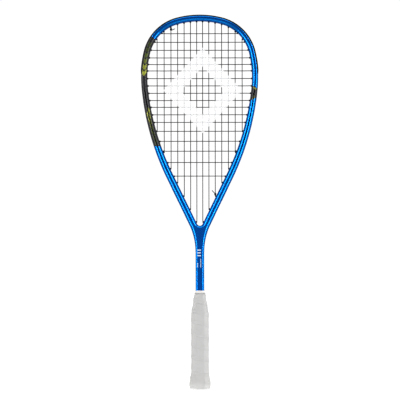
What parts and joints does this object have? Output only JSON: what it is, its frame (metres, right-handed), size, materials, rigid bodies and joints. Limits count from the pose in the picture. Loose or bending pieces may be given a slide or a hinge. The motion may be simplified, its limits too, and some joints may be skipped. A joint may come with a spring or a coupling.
{
  "type": "squash racket",
  "caption": "Squash racket with an open-throat teardrop head, woven string bed, bumper guard, slim shaft and wrapped octagonal grip.",
  "frame": {"origin": "centre of the butt cap's end face, the lowest point of the racket", "axes": "+Z from the butt to the head along the racket, +X across the head, +Y through the beam towards the back face, so the front face looks towards -Y"},
  "size_m": [0.2158, 0.036, 0.686],
  "materials": {
    "frame": "metallic blue lacquer on carbon, with a black section and fading lime chevrons",
    "guard": "moulded black nylon",
    "grommet": "moulded black nylon",
    "string": "black coated multifilament with a white stencil",
    "pallet": "rigid polyurethane foam",
    "cap": "light grey moulded plastic",
    "badge": "blank domed badge",
    "staple": "steel wire",
    "grip": "light grey perforated polyurethane grip, helical wrap",
    "finishing_tape": "cream vinyl tape"
  },
  "bodies": {
    "root": {"frame": "frame", "bumper_guard": "guard", "grommet_strip_left": "grommet", "grommet_strip_right": "grommet", "main_string_01": "string", "main_string_02": "string", "main_string_03": "string", "main_string_04": "string", "main_string_05": "string", "main_string_06": "string", "main_string_07": "string", "main_string_08": "string", "main_string_09": "string", "main_string_10": "string", "main_string_11": "string", "main_string_12": "string", "main_string_13": "string", "main_string_14": "string", "cross_string_01": "string", "cross_string_02": "string", "cross_string_03": "string", "cross_string_04": "string", "cross_string_05": "string", "cross_string_06": "string", "cross_string_07": "string", "cross_string_08": "string", "cross_string_09": "string", "cross_string_10": "string", "cross_string_11": "string", "cross_string_12": "string", "cross_string_13": "string", "cross_string_14": "string", "cross_string_15": "string", "cross_string_16": "string", "cross_string_17": "string", "cross_string_18": "string", "main_string_loops": "string", "cross_string_loops": "string", "tie_off_knot_upper": "string", "tie_off_knot_lower": "string", "handle_pallet_left": "pallet", "handle_pallet_right": "pallet", "butt_cap": "cap", "butt_cap_badge": "badge", "butt_cap_staples": "staple", "grip_tape": "grip", "finishing_tape": "finishing_tape"}
  },
  "joints": []
}
